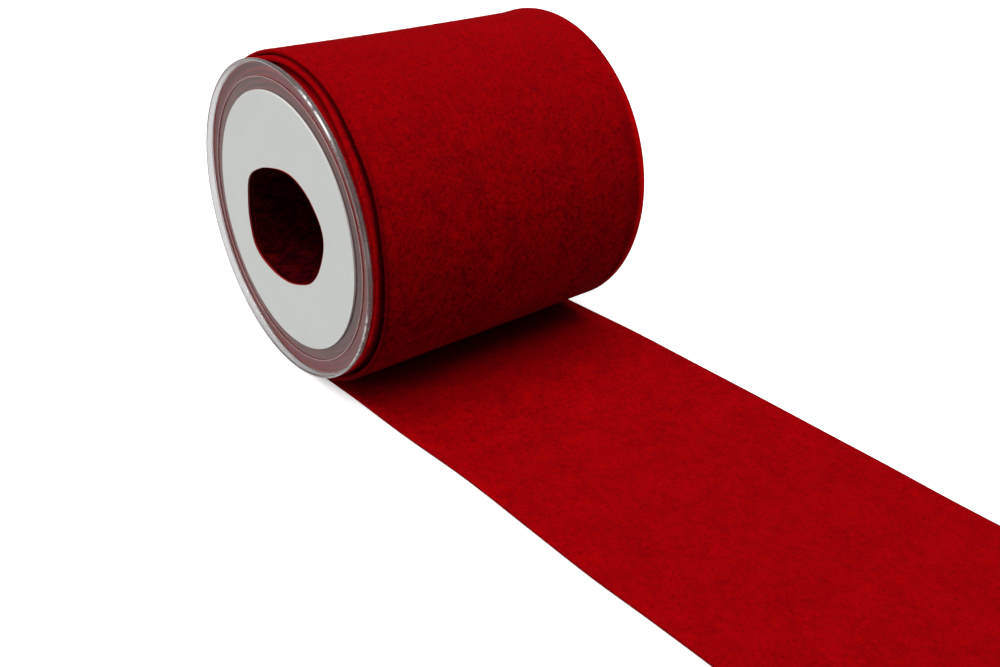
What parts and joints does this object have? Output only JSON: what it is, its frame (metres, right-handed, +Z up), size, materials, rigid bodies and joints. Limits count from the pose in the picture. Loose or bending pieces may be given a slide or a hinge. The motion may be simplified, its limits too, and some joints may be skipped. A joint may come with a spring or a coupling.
{
  "type": "roll of felt",
  "caption": "Wide felt ribbon wound on itself round an open bore, with a clear cap and card ring on one end and the loose end laid out flat.",
  "frame": {"origin": "centre of the bottom face of the bounding box, on the surface that the roll and its loose end rest on", "axes": "+X along the loose end, away from the roll; Y along the roll's axis, with the capped end facing -Y; +Z up"},
  "size_m": [0.2722, 0.1138, 0.1042],
  "materials": {
    "felt": "dark red melange pressed felt, matt and slightly hairy",
    "clear_plastic": "clear moulded polystyrene, glossy with light scuffs",
    "white_card": "uncoated white card, matt"
  },
  "bodies": {
    "root": {"felt_roll": "felt", "felt_loose_end": "felt", "end_cap": "clear_plastic", "card_ring": "white_card"}
  },
  "joints": []
}
